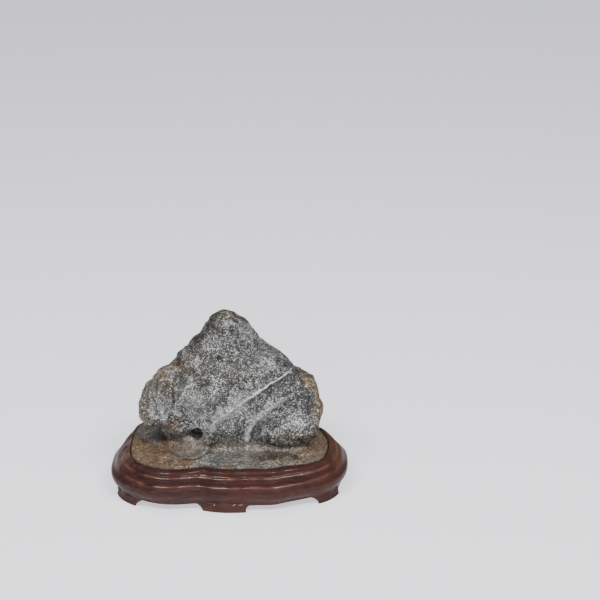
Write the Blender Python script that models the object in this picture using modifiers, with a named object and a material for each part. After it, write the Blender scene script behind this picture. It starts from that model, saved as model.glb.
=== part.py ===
"""A viewing stone shaped like a thatched hut, on its carved hardwood stand.

The stone is one solid: a peaked body with two bulging shoulders, standing on a thin
base of its own. The stand is one solid too: a lobed tray with a moulded rim, carved
from a single board, on six low feet. The base of the stone drops into the recess of
the stand. Origin: on the table, under the middle of the stand. +X runs along the
stand, -Y is the front, +Z is up. Lengths are metres; MM turns millimetres into them.
"""

import math

import bmesh
import bpy
import numpy as np
from mathutils import Matrix, Vector, noise

MM = 0.001

# ---------------------------------------------------------------- driving dimensions

# Plan of the stand, at the edge of the stone and at the fullest part of the rim.
# squareness is the exponent of the superellipse: 2 is an ellipse, 4 nearly a box.
# A lobe has its angle from +X in degrees, half width in degrees, and depth outwards.
STONE_EDGE = {
    "length": 141.0 * MM,
    "width": 90.0 * MM,
    "left_squareness": 4.0,
    "right_squareness": 2.7,
    "lobes": ((156.0, 9.0, 2.2 * MM), (333.0, 10.5, 3.4 * MM), (12.0, 8.0, -1.5 * MM)),
}
RIM_EDGE = {
    "length": 169.2 * MM,
    "width": 116.6 * MM,
    "left_squareness": 2.75,
    "right_squareness": 2.55,
    "lobes": ((152.0, 13.0, -1.8 * MM), (205.0, 12.0, 2.0 * MM), (28.0, 12.0, 1.3 * MM)),
}

# Lobes that both outlines share.
LOBES = (
    (227.0, 13.0, 3.8 * MM),
    (247.5, 9.0, -3.0 * MM),
    (272.0, 14.0, 1.2 * MM),
    (300.0, 7.0, 1.9 * MM),
    (318.0, 10.0, -0.6 * MM),
    (20.0, 7.0, -1.0 * MM),
    (45.0, 13.0, 1.2 * MM),
    (62.0, 8.0, -1.0 * MM),
    (88.0, 14.0, 1.2 * MM),
    (112.5, 9.0, -2.6 * MM),
    (133.0, 13.0, 3.0 * MM),
    (160.0, 7.0, -1.0 * MM),
    (184.0, 16.0, 0.9 * MM),
)

RIM_WIDTH = 13.6 * MM        # from the edge of the stone to the fullest part of the rim
STAND_HEIGHT = 29.4 * MM     # at the lip that hugs the stone
FLOOR_TOP = 17.0 * MM        # floor of the recess that holds the stone
UNDERSIDE = 6.2 * MM         # the stand is hollowed below, behind its feet
FEET_HEIGHT = 5.0 * MM
LIP_WIDTH = 1.2 * MM         # the lip, from the edge of the stone outwards
ARRIS = (12.2 * MM, 19.9 * MM)    # the sharp edge over the belly: distance out and height

# Towards the two ends of the stand the moulding is drawn in and its hollows fill up.
END_DRAW = 0.22
END_FILL = 0.7
STONE_CLEARANCE = 0.6 * MM   # round the stone in its recess
SEAT_GAP = 0.3 * MM          # under the stone
PLAN_STEPS = 76

# Channels sawn across the bottom leave six feet. In millimetres, for each end of a
# channel: where it ends at the table, how high it is there, and how far the side of
# the foot slopes in above it.
LEFT_CHANNEL = ((-65.0, 6.0, 5.4), (-18.0, 4.7, 4.2))
RIGHT_CHANNEL = ((12.5, 4.7, 2.2), (63.0, 6.4, 5.4))
END_CHANNEL = ((-24.0, 5.0, 2.2), (24.0, 5.0, 2.2))

BASE_TOP = 29.2 * MM         # top of the stone's thin base at its edge
STONE_VOXEL = 1.25 * MM
STONE_FACES = 5580

# Sections of the stone's body, in millimetres: height, left, right, front, back.
BODY_SECTIONS = (
    (16.0, -38.0, 42.0, -12.0, 32.0),
    (27.0, -42.0, 51.0, -15.0, 34.0),
    (34.0, -47.0, 56.0, -18.5, 36.0),
    (41.0, -53.0, 61.0, -20.5, 38.0),
    (48.0, -58.5, 64.0, -21.0, 39.0),
    (56.0, -62.5, 65.0, -20.5, 39.0),
    (64.0, -61.0, 65.0, -18.5, 38.0),
    (72.0, -55.0, 61.5, -15.5, 36.5),
    (79.0, -49.0, 48.5, -12.5, 35.0),
    (86.0, -42.0, 43.5, -9.5, 33.5),
    (92.0, -36.0, 36.0, -7.0, 32.0),
    (98.0, -32.0, 29.5, -4.0, 30.0),
    (104.0, -27.5, 21.5, -1.0, 28.0),
    (110.0, -21.5, 17.0, 2.5, 26.0),
    (116.0, -16.0, 13.0, 5.5, 24.0),
    (121.0, -12.0, 9.5, 8.0, 22.0),
    (124.3, -8.0, 4.0, 10.5, 19.0),
    (125.5, -3.0, -1.0, 14.0, 15.5),
)
BODY_SQUARENESS = 2.5

# Lumps fused with the body, in millimetres: name, centre, half sizes, turn about Y.
LUMPS = (
    ("left_shoulder", (-48.8, -2.0, 65.5), (15.0, 22.0, 24.0), 30.0),
    ("left_cheek", (-50.5, -9.0, 57.5), (14.0, 17.0, 11.5), 0.0),
    ("right_shoulder", (47.0, 5.0, 54.0), (19.5, 25.0, 19.0), -14.0),
    ("right_cheek", (39.0, -8.0, 44.5), (26.5, 16.5, 16.0), -6.0),
    ("peak", (-3.0, 13.5, 111.0), (12.0, 11.0, 14.0), 20.0),
    ("back_buttress", (15.0, 27.0, 58.0), (32.0, 14.0, 32.0), 8.0),
    ("back_left_foot", (-31.0, 23.0, 42.0), (24.0, 15.0, 20.0), 0.0),
    ("skirt", (2.0, 4.0, 22.0), (66.0, 38.0, 10.0), 0.0),
    ("doorstep", (-29.0, -23.0, 25.0), (22.0, 14.0, 6.5), 4.0),
    ("front_toe", (14.0, -19.0, 25.0), (30.0, 14.0, 6.5), 0.0),
)

# The porch is a hollow low on the left of the front; the door of the hut, a small
# cave, opens from it. In millimetres: name, centre, half sizes.
HOLLOWS = (
    ("porch", (-32.0, -23.0, 37.0), (15.0, 9.5, 8.0)),
    ("cave", (-23.0, -12.0, 42.3), (5.4, 18.0, 6.2)),
)

# Lines of relief, in millimetres. Those of the front and back are drawn in x and z,
# those of the base in x and y. After its points, each line has its half width, its
# height outwards and how far the ground below it steps back.
FRONT_LINES = (
    (((48.0, 82.5), (31.5, 78.0), (19.0, 72.0), (10.5, 66.0), (-2.0, 59.5), (-10.5, 52.5)), 2.4, 1.6, 2.0),
    (((47.0, 70.0), (26.0, 59.0), (17.5, 52.5), (14.5, 44.5), (11.5, 33.0)), 2.6, 1.6, 0.8),
    (((-38.5, 88.0), (-41.0, 82.0), (-42.5, 75.0), (-40.5, 66.0), (-39.5, 50.0)), 1.9, -2.6, 0.0),
    (((-52.5, 84.0), (-54.0, 79.5), (-53.0, 70.0), (-55.0, 62.0)), 1.7, -1.6, 0.0),
    (((-46.5, 84.0), (-48.0, 76.0), (-46.0, 68.0), (-48.5, 56.0)), 1.7, -1.4, 0.0),
    (((21.0, 54.0), (26.0, 56.0), (35.0, 59.5), (42.0, 63.0)), 1.7, -1.7, 0.0),
    (((-11.5, 116.0), (-18.5, 105.0), (-26.5, 97.0), (-32.0, 87.0), (-36.0, 76.0)), 2.6, 1.0, 0.0),
    (((16.0, 106.0), (9.0, 96.0), (6.0, 86.0)), 2.6, -0.9, 0.0),
)
BACK_LINES = (
    (((-46.0, 72.0), (-24.0, 80.0), (-6.0, 92.0), (4.0, 108.0)), 3.0, 1.6, 1.8),
    (((-6.0, 92.0), (-10.0, 72.0), (-4.0, 52.0), (-8.0, 36.0)), 2.4, -2.6, 0.0),
    (((44.0, 74.0), (30.0, 62.0), (33.0, 46.0)), 2.4, -2.2, 0.0),
    (((-50.0, 52.0), (-28.0, 55.0), (-14.0, 48.0)), 2.6, -1.6, 0.0),
)
BASE_LINES = (
    (((-19.0, -18.0), (-15.5, -26.0), (-17.0, -34.0), (-25.0, -37.5), (-36.0, -34.5)), 2.2, 1.5, 0.0),
    (((-46.0, -16.0), (-36.0, -24.0), (-26.0, -26.0)), 6.0, -1.2, 0.0),
    (((4.0, -35.0), (22.0, -38.0), (40.0, -31.0), (56.0, -19.0)), 2.4, 0.9, 0.0),
)

STONE_COLOUR = (0.085, 0.088, 0.095, 1.0)
WOOD_COLOUR = (0.052, 0.016, 0.011, 1.0)


# ---------------------------------------------------------------- helpers

def clear_scene():
    for obj in list(bpy.data.objects):
        bpy.data.objects.remove(obj, do_unlink=True)


def new_collection(name):
    collection = bpy.data.collections.new(name)
    bpy.context.scene.collection.children.link(collection)
    return collection


def principled(name, colour, roughness):
    material = bpy.data.materials.new(name)
    material.use_nodes = True
    shader = material.node_tree.nodes["Principled BSDF"]
    shader.inputs["Base Color"].default_value = colour
    shader.inputs["Roughness"].default_value = roughness
    shader.inputs["Metallic"].default_value = 0.0
    return material


def object_from_bmesh(name, bm, collection):
    mesh = bpy.data.meshes.new(name)
    bm.to_mesh(mesh)
    bm.free()
    obj = bpy.data.objects.new(name, mesh)
    collection.objects.link(obj)
    return obj


def hide_tool(obj):
    """A cutter is a tool: it is drawn as wires and isn't part of the object."""
    obj.hide_render = True
    obj.display_type = "WIRE"


def apply_modifiers(obj):
    graph = bpy.context.evaluated_depsgraph_get()
    mesh = bpy.data.meshes.new_from_object(obj.evaluated_get(graph))
    obj.modifiers.clear()
    obj.data = mesh


def reshape(obj, rule):
    """Move every vertex by a rule that takes and returns an array of points."""
    count = len(obj.data.vertices)
    flat = np.empty(count * 3)
    obj.data.vertices.foreach_get("co", flat)
    points = rule(flat.reshape(count, 3))
    obj.data.vertices.foreach_set("co", points.reshape(count * 3))
    obj.data.update()


def vertex_normals(obj):
    count = len(obj.data.vertices)
    flat = np.empty(count * 3)
    obj.data.vertices.foreach_get("normal", flat)
    return flat.reshape(count, 3)


def smooth_step(low, high, value):
    t = np.clip((value - low) / (high - low), 0.0, 1.0)
    return t * t * (3.0 - 2.0 * t)


def arc(centre, radius, start, end, steps):
    """Points of an arc in the profile's plane; angles in degrees, both ends included."""
    angles = np.radians(np.linspace(start, end, steps + 1))
    return [(centre[0] + radius[0] * math.cos(a), centre[1] + radius[1] * math.sin(a)) for a in angles]


# ---------------------------------------------------------------- lobed plan

def plan_radius(angle, edge):
    """Distance from the middle to one outline of the plan, at an array of angles."""
    mean = 0.5 * (edge["left_squareness"] + edge["right_squareness"])
    swing = 0.5 * (edge["right_squareness"] - edge["left_squareness"])
    power = mean + swing * np.cos(angle)
    along = np.abs(np.cos(angle)) / (0.5 * edge["length"])
    across = np.abs(np.sin(angle)) / (0.5 * edge["width"])
    radius = (along ** power + across ** power) ** (-1.0 / power)
    for centre, half_width, depth in LOBES + edge["lobes"]:
        turn = np.degrees(angle) - centre
        turn = (turn + 180.0) % 360.0 - 180.0
        radius = radius + depth * np.exp(-((turn / half_width) ** 2))
    return radius


TURNED_RADIUS = 60.0 * MM    # the stone's edge on a blank as it is turned


def lobed(points):
    """Carry a turned blank to the lobed plan; past the lip its rim is as wide as the plan allows."""
    angle = np.arctan2(points[:, 1], points[:, 0])
    radius = np.hypot(points[:, 0], points[:, 1])
    inner = plan_radius(angle, STONE_EDGE)
    outer = plan_radius(angle, RIM_EDGE)
    offset = radius - TURNED_RADIUS
    past_lip = np.clip((offset - LIP_WIDTH) / (RIM_WIDTH - LIP_WIDTH), 0.0, None)
    rim_radius = inner + offset + (outer - inner - RIM_WIDTH) * past_lip
    new_radius = np.where(offset < 0.0, inner * radius / TURNED_RADIUS, rim_radius)
    return np.column_stack((new_radius * np.cos(angle), new_radius * np.sin(angle), points[:, 2]))


def eased(points):
    """Ease the turned moulding into one soft slope at the two ends of the stand."""
    angle = np.arctan2(points[:, 1], points[:, 0])
    radius = np.hypot(points[:, 0], points[:, 1])
    height = points[:, 2]
    past_lip = np.clip(radius - TURNED_RADIUS - LIP_WIDTH, 0.0, ARRIS[0] - LIP_WIDTH)
    share = past_lip / (ARRIS[0] - LIP_WIDTH)
    slope = ARRIS[1] + (STAND_HEIGHT - ARRIS[1]) * (1.0 - share ** 1.6)
    at_end = smooth_step(0.66, 0.93, np.abs(np.cos(angle)))
    moulded = (past_lip > 0.0) & (height >= ARRIS[1] - 0.1 * MM)
    new_height = height + np.where(moulded, at_end * END_FILL * (slope - height), 0.0)
    new_radius = radius - at_end * END_DRAW * past_lip * smooth_step(15.0 * MM, 20.0 * MM, height)
    return np.column_stack((new_radius * np.cos(angle), new_radius * np.sin(angle), new_height))


def turned(name, profile, collection):
    """Turn a profile round Z. Its points are (distance outside the stone's edge, height)."""
    bm = bmesh.new()
    chain = []
    for offset, height in profile:
        radius = max(0.0, TURNED_RADIUS + offset)
        chain.append(bm.verts.new((radius, 0.0, height)))
    for first, second in zip(chain, chain[1:]):
        bm.edges.new((first, second))
    obj = object_from_bmesh(name, bm, collection)
    screw = obj.modifiers.new("turn", "SCREW")
    screw.steps = PLAN_STEPS
    screw.render_steps = PLAN_STEPS
    screw.use_merge_vertices = True
    screw.merge_threshold = 0.00001
    apply_modifiers(obj)
    close_and_orient(obj)
    return obj


def close_and_orient(obj):
    bm = bmesh.new()
    bm.from_mesh(obj.data)
    bmesh.ops.remove_doubles(bm, verts=bm.verts, dist=0.00001)
    bmesh.ops.recalc_face_normals(bm, faces=bm.faces)
    bm.to_mesh(obj.data)
    bm.free()


# ---------------------------------------------------------------- stand

def stand_profile():
    """Section of the stand from the middle of its recess, over the rim, to its underside."""
    wall = STONE_CLEARANCE
    centre = -TURNED_RADIUS
    top = STAND_HEIGHT
    profile = [(centre, FLOOR_TOP), (wall, FLOOR_TOP), (wall, top - 0.6 * MM)]
    profile += [(wall + 0.4 * MM, top), (wall + 1.0 * MM, top - 0.2 * MM)]
    sweep_centre = (5.7 * MM, 29.2 * MM)
    profile += arc(sweep_centre, (3.9 * MM, 3.6 * MM), 190.0, 262.0, 3)
    bead_centre = (6.4 * MM, 23.8 * MM)
    profile += arc(bead_centre, (1.8 * MM, 1.8 * MM), 105.0, -25.0, 4)
    cove_centre = (12.6 * MM, 24.0 * MM)
    profile += arc(cove_centre, (4.3 * MM, 4.0 * MM), 200.0, 262.0, 3)
    belly_centre = (5.6 * MM, 13.8 * MM)
    profile += arc(belly_centre, (8.0 * MM, 7.0 * MM), 44.0, -52.0, 4)
    profile += [(9.5 * MM, FEET_HEIGHT + 0.7 * MM), (9.9 * MM, FEET_HEIGHT - 0.3 * MM)]
    profile += [(9.6 * MM, 2.2 * MM), (10.2 * MM, 0.0)]
    profile += [(-4.0 * MM, 0.0), (-6.0 * MM, UNDERSIDE), (centre, UNDERSIDE)]
    return profile


def channel(name, ends, across, collection):
    """A long block with sloping top edges, which saws one channel across the bottom."""
    (start, start_height, start_slope), (end, end_height, end_slope) = ends
    below = 4.0 * MM
    reach = 1.3 * RIM_EDGE["length"]
    bm = bmesh.new()
    bmesh.ops.create_cube(bm, size=1.0)
    bmesh.ops.scale(bm, vec=Vector(((end - start) * MM, reach, below)), verts=bm.verts)
    bmesh.ops.translate(bm, vec=Vector((0.5 * (start + end) * MM, 0.0, -0.5 * below)), verts=bm.verts)
    for vert in bm.verts:
        if vert.co.z > -0.5 * below:
            vert.co.z = (start_height if vert.co.x < 0.5 * (start + end) * MM else end_height) * MM
    for place, slope in ((start, start_slope), (end, end_slope)):
        bmesh.ops.bevel(
            bm, geom=[top_edge(bm, place * MM)], offset=slope * MM, segments=3, profile=0.35, affect="EDGES")
    if across:
        bmesh.ops.rotate(bm, verts=bm.verts, matrix=Matrix.Rotation(math.radians(90.0), 3, "Z"))
    obj = object_from_bmesh(name, bm, collection)
    hide_tool(obj)
    return obj


def top_edge(bm, place):
    """The upper edge of a block that runs along Y at one X."""
    for edge in bm.edges:
        first, second = (vert.co for vert in edge.verts)
        if abs(first.x - place) < 0.1 * MM and abs(first.x - second.x) < 0.1 * MM and min(first.z, second.z) > 0.0:
            return edge


def make_stand(parts, tools):
    stand = turned("stand", stand_profile(), parts)
    reshape(stand, eased)
    reshape(stand, lobed)
    channels = (
        channel("left_channel", LEFT_CHANNEL, False, tools),
        channel("right_channel", RIGHT_CHANNEL, False, tools),
        channel("end_channel", END_CHANNEL, True, tools),
    )
    for tool in channels:
        cut = stand.modifiers.new(tool.name, "BOOLEAN")
        cut.operation = "DIFFERENCE"
        cut.solver = "EXACT"
        cut.object = tool
    stand.data.materials.clear()
    stand.data.materials.append(principled("dark_hardwood", WOOD_COLOUR, 0.3))
    stand.data.shade_smooth()
    stand.data.set_sharp_from_angle(angle=math.radians(35.0))
    return stand


# ---------------------------------------------------------------- stone

def ball(name, subdivisions, collection):
    bm = bmesh.new()
    bmesh.ops.create_icosphere(bm, subdivisions=subdivisions, radius=1.0)
    return object_from_bmesh(name, bm, collection)


def to_sections(points):
    """Stretch a unit ball so that each level fills its section of the body."""
    stations = np.array(BODY_SECTIONS) * MM
    level = stations[:, 0]
    low = level[0]
    high = level[-1]
    height = low + 0.5 * (points[:, 2] + 1.0) * (high - low)
    left = np.interp(height, level, stations[:, 1])
    right = np.interp(height, level, stations[:, 2])
    front = np.interp(height, level, stations[:, 3])
    back = np.interp(height, level, stations[:, 4])
    reach = np.maximum(np.hypot(points[:, 0], points[:, 1]), 1e-9)
    cosine = points[:, 0] / reach
    sine = points[:, 1] / reach
    power = 2.0 / BODY_SQUARENESS
    across = np.sign(cosine) * np.abs(cosine) ** power
    deep = np.sign(sine) * np.abs(sine) ** power
    x = 0.5 * (left + right) + 0.5 * (right - left) * across
    y = 0.5 * (front + back) + 0.5 * (back - front) * deep
    pole = reach < 1e-6
    x = np.where(pole, 0.5 * (left + right), x)
    y = np.where(pole, 0.5 * (front + back), y)
    return np.column_stack((x, y, height))


def lump(name, centre, half_sizes, turn, collection):
    obj = ball(name, 4, collection)
    angle = math.radians(turn)
    cosine = math.cos(angle)
    sine = math.sin(angle)

    def place(points):
        scaled = points * np.array(half_sizes) * MM
        x = cosine * scaled[:, 0] + sine * scaled[:, 2]
        z = cosine * scaled[:, 2] - sine * scaled[:, 0]
        return np.column_stack((x, scaled[:, 1], z)) + np.array(centre) * MM

    reshape(obj, place)
    return obj


def stone_base(collection):
    """The thin base that stands in the recess, a turned disc carried to the lobed plan."""
    bottom = FLOOR_TOP + SEAT_GAP
    profile = [(-TURNED_RADIUS, BASE_TOP + 0.8 * MM), (-6.0 * MM, BASE_TOP + 0.8 * MM)]
    profile += [(-1.0 * MM, BASE_TOP + 0.3 * MM), (0.0, BASE_TOP - 1.0 * MM), (0.0, bottom)]
    profile += [(-TURNED_RADIUS, bottom)]
    base = turned("base", profile, collection)
    reshape(base, lobed)
    return base


def fuse(name, pieces, collection):
    """Join closed pieces and melt them into one skin of even faces."""
    bm = bmesh.new()
    for piece in pieces:
        bm.from_mesh(piece.data)
        bpy.data.objects.remove(piece, do_unlink=True)
    obj = object_from_bmesh(name, bm, collection)
    melt(obj)
    return obj


def melt(obj):
    remesh = obj.modifiers.new("melt", "REMESH")
    remesh.mode = "VOXEL"
    remesh.voxel_size = STONE_VOXEL
    apply_modifiers(obj)


def cut_hollows(stone, tools):
    for name, centre, half_sizes in HOLLOWS:
        hollow = lump(name, centre, half_sizes, 0.0, tools)
        hide_tool(hollow)
        cut = stone.modifiers.new(name, "BOOLEAN")
        cut.operation = "DIFFERENCE"
        cut.solver = "EXACT"
        cut.object = hollow
    apply_modifiers(stone)


def line_distance(across, up, points):
    """Distance to a broken line drawn in a plane, and how far below it each point is."""
    distance = np.full(len(across), 1.0e3)
    below = np.zeros(len(across))
    for (start_across, start_up), (end_across, end_up) in zip(points, points[1:]):
        run = np.array((end_across - start_across, end_up - start_up))
        share = ((across - start_across) * run[0] + (up - start_up) * run[1]) / run.dot(run)
        share = np.clip(share, 0.0, 1.0)
        off_across = across - (start_across + share * run[0])
        off_up = up - (start_up + share * run[1])
        span = np.hypot(off_across, off_up)
        nearer = span < distance
        distance = np.where(nearer, span, distance)
        below = np.where(nearer, -off_up, below)
    return distance, below


def line_relief(across, up, facing, lines):
    """Height of ridges, grooves and steps, where the skin faces the plane they are drawn in."""
    height = np.zeros(len(across))
    for points, half_width, rise, step in lines:
        distance, below = line_distance(across / MM, up / MM, points)
        height += rise * np.exp(-((distance / half_width) ** 2))
        near = np.exp(-((distance / 9.0) ** 2))
        height -= step * near * smooth_step(0.0, 3.0, below)
    return height * smooth_step(0.1, 0.5, facing) * MM


def rough_relief(points):
    """Lumps and pits of the weathered skin, in metres along the normal."""
    height = np.empty(len(points))
    for index, point in enumerate(points):
        spot = Vector(point / MM)
        lumps = noise.fractal(spot / 17.0, 0.9, 2.1, 3)
        pits = noise.noise(spot / 5.5)
        ledges = noise.noise(Vector((spot.x / 40.0, spot.y / 40.0, spot.z / 7.0 + 0.02 * spot.x)))
        height[index] = 2.3 * lumps - 1.6 * abs(pits) + 1.2 * ledges
    return height * MM


def add_relief(stone):
    normals = vertex_normals(stone)

    def rule(points):
        x, y, z = points.T
        height = rough_relief(points) * (0.4 + 0.6 * smooth_step(28.0 * MM, 36.0 * MM, z))
        height += line_relief(x, z, -normals[:, 1], FRONT_LINES)
        height += line_relief(x, z, normals[:, 1], BACK_LINES)
        height += line_relief(x, y, normals[:, 2], BASE_LINES) * smooth_step(38.0 * MM, 34.0 * MM, z)
        edge = plan_radius(np.arctan2(points[:, 1], points[:, 0]), STONE_EDGE)
        inside = 1.0 - np.hypot(points[:, 0], points[:, 1]) / edge
        free = np.maximum(smooth_step(0.01, 0.16, inside), smooth_step(30.0 * MM, 36.0 * MM, points[:, 2]))
        free = free * smooth_step(FLOOR_TOP + 4.0 * MM, BASE_TOP - 1.0 * MM, points[:, 2])
        return points + normals * (height * free)[:, None]

    reshape(stone, rule)


def seat_base(points):
    """Keep the part of the base that is in the recess true: flat below, no wider than its plan."""
    angle = np.arctan2(points[:, 1], points[:, 0])
    radius = np.hypot(points[:, 0], points[:, 1])
    edge = plan_radius(angle, STONE_EDGE)
    in_recess = points[:, 2] < STAND_HEIGHT + 1.0 * MM
    radius = np.where(in_recess, np.minimum(radius, edge), radius)
    bottom = FLOOR_TOP + SEAT_GAP
    height = np.where(points[:, 2] < bottom + 0.8 * MM, bottom, points[:, 2])
    return np.column_stack((radius * np.cos(angle), radius * np.sin(angle), height))


def thin_out(stone):
    triangles = stone.modifiers.new("triangles", "TRIANGULATE")
    triangles.min_vertices = 4
    apply_modifiers(stone)
    thin = stone.modifiers.new("thin", "DECIMATE")
    thin.decimate_type = "COLLAPSE"
    thin.ratio = STONE_FACES / len(stone.data.polygons)
    apply_modifiers(stone)


def make_stone(parts, tools):
    body = ball("body", 6, parts)
    reshape(body, to_sections)
    pieces = [body, stone_base(parts)]
    for name, centre, half_sizes, turn in LUMPS:
        pieces.append(lump(name, centre, half_sizes, turn, parts))
    stone = fuse("stone", pieces, parts)
    soften = stone.modifiers.new("soften", "SMOOTH")
    soften.factor = 0.5
    soften.iterations = 5
    apply_modifiers(stone)
    cut_hollows(stone, tools)
    melt(stone)
    add_relief(stone)
    melt(stone)
    reshape(stone, seat_base)
    thin_out(stone)
    reshape(stone, seat_base)
    stone.data.materials.clear()
    stone.data.materials.append(principled("grey_stone", STONE_COLOUR, 0.7))
    stone.data.shade_smooth()
    return stone


def main():
    clear_scene()
    parts = new_collection("viewing_stone")
    tools = new_collection("cutters")
    make_stand(parts, tools)
    make_stone(parts, tools)


main()
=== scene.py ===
# %% [markdown]
# # A hut-shaped viewing stone on its carved stand
#
# Two solids come in with their true size and place: a weathered grey stone, and the
# hardwood stand that is cut to fit it. This lesson gives both their finished surface. The
# stone gets pits, wrinkles, veins and stains; the stand gets its fine moulding, its carved
# cloud feet and its lacquer. Nothing is moved or resized on the way.

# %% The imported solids
import math

import bpy
import numpy as np
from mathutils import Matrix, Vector, noise


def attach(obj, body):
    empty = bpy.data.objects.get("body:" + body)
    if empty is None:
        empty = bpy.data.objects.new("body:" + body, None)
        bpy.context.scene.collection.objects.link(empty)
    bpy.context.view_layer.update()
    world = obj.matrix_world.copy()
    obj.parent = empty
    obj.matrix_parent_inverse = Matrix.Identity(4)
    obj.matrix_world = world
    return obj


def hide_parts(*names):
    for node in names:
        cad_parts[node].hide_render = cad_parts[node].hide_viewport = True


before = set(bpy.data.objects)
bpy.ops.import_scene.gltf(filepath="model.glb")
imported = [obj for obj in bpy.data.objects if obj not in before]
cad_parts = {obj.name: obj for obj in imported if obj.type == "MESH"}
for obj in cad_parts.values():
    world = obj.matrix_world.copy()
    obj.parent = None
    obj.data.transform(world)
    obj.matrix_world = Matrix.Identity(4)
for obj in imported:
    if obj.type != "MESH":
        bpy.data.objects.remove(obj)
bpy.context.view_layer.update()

MM = 0.001

# %% [markdown]
# ## Small tools
#
# Blender's operators work on what is selected, and the loaded solids arrive selected. So
# every step starts by selecting its own piece and nothing else. Shapes that follow a rule
# are made by moving all points of a mesh at once: the points go out as one array, the rule
# changes them, and they go back.

# %% Selecting, applying and moving points
def select_only(piece):
    bpy.ops.object.select_all(action="DESELECT")
    piece.select_set(True)
    bpy.context.view_layer.objects.active = piece


def apply_modifiers(piece):
    select_only(piece)
    for modifier in list(piece.modifiers):
        bpy.ops.object.modifier_apply(modifier=modifier.name)


def read_points(piece, what="co"):
    flat = np.empty(len(piece.data.vertices) * 3)
    piece.data.vertices.foreach_get(what, flat)
    return flat.reshape(-1, 3)


def write_points(piece, points):
    piece.data.vertices.foreach_set("co", points.reshape(-1))
    piece.data.update()


def store_mask(piece, name, values):
    """Keep one number from 0 to 1 at every point, for the materials to read by its name."""
    kept = np.clip(values, 0.0, 1.0)
    mask = piece.data.attributes.new(name, "FLOAT", "POINT")
    mask.data.foreach_set("value", kept.astype(np.float32))
    print(f"{piece.name}: {name} covers {100.0 * kept.mean():.1f} % of its points")


def smooth_step(low, high, value):
    t = np.clip((value - low) / (high - low), 0.0, 1.0)
    return t * t * (3.0 - 2.0 * t)


def lumps(points, size, octaves, seed):
    """Soft random lumps about one size across, as one value near -1 to 1 for each point."""
    shift = Vector((seed, -1.7 * seed, 0.6 * seed))
    return np.array([noise.fractal(Vector(p) / size + shift, 1.0, 2.0, octaves) for p in points])


# %% [markdown]
# ## The plan of the stand
#
# The stone was set on the board and drawn round, and the carver followed that line with a
# lobed rim. Both outlines are superellipses whose corners are squarer on the left, with a
# few soft bumps and dips added by angle. The stand and the foot of the stone share this
# plan, so it is worked out once.

# %% Lobed outlines
# A lobe has its angle from +X and half width in degrees, and its depth outwards in mm.
STONE_EDGE = {
    "length": 141.0 * MM, "width": 90.0 * MM, "left_squareness": 4.0, "right_squareness": 2.7,
    "lobes": ((156, 9, 2.2), (333, 10.5, 3.4), (12, 8, -1.5)),
}
RIM_EDGE = {
    "length": 169.2 * MM, "width": 116.6 * MM, "left_squareness": 2.75, "right_squareness": 2.55,
    "lobes": ((152, 13, -1.8), (205, 12, 2), (28, 12, 1.3)),
}
RIM_WIDTH = 13.6 * MM       # from the edge of the stone to the fullest part of the rim

LOBES = (                   # shared by both outlines
    (227, 13, 3.8), (247.5, 9, -3), (272, 14, 1.2),
    (300, 7, 1.9), (318, 10, -0.6), (20, 7, -1),
    (45, 13, 1.2), (62, 8, -1), (88, 14, 1.2),
    (112.5, 9, -2.6), (133, 13, 3), (160, 7, -1),
    (184, 16, 0.9),
)


def plan_radius(angle, edge):
    """Distance from the middle to one outline of the plan, at an array of angles."""
    mean = 0.5 * (edge["left_squareness"] + edge["right_squareness"])
    swing = 0.5 * (edge["right_squareness"] - edge["left_squareness"])
    power = mean + swing * np.cos(angle)
    along = np.abs(np.cos(angle)) / (0.5 * edge["length"])
    across = np.abs(np.sin(angle)) / (0.5 * edge["width"])
    radius = (along ** power + across ** power) ** (-1.0 / power)
    for centre, half_width, depth in LOBES + edge["lobes"]:
        turn = (np.degrees(angle) - centre + 180.0) % 360.0 - 180.0
        radius = radius + depth * MM * np.exp(-((turn / half_width) ** 2))
    return radius


# %% [markdown]
# ## The stone, part one: a finer skin
#
# The solid has broad flat facets. A copy of it is welded, melted into an even skin with
# faces under a millimetre, and softened until the facets are gone. From here on every
# pit and wrinkle can be real shape. Sculpting by hand would do the same, but it couldn't
# be run again.

# %% Weld, melt and soften a copy
STONE_VOXEL = 0.80 * MM

stone = bpy.data.objects.new("weathered_stone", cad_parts["stone"].data.copy())
bpy.context.scene.collection.objects.link(stone)
select_only(stone)
bpy.ops.object.mode_set(mode="EDIT")
bpy.ops.mesh.select_all(action="SELECT")
bpy.ops.mesh.remove_doubles(threshold=0.00001)
bpy.ops.object.mode_set(mode="OBJECT")
melt = stone.modifiers.new("melt", "REMESH")
melt.mode = "VOXEL"
melt.voxel_size = STONE_VOXEL
soften = stone.modifiers.new("soften", "SMOOTH")
soften.factor = 0.5
soften.iterations = 9
apply_modifiers(stone)
print("stone skin:", len(stone.data.polygons), "faces")

# %% [markdown]
# ## The stone, part two: veins, wrinkles and ledges
#
# What the eye follows on this stone are lines: two pale veins that climb to the right, a
# deep fold that parts the left cheek from the body, wrinkles on that cheek, and thin
# ledges along the front of the foot. Each line is drawn with a few points, on the plane
# that it is seen on, and pushes the skin in or out beside it.

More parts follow.
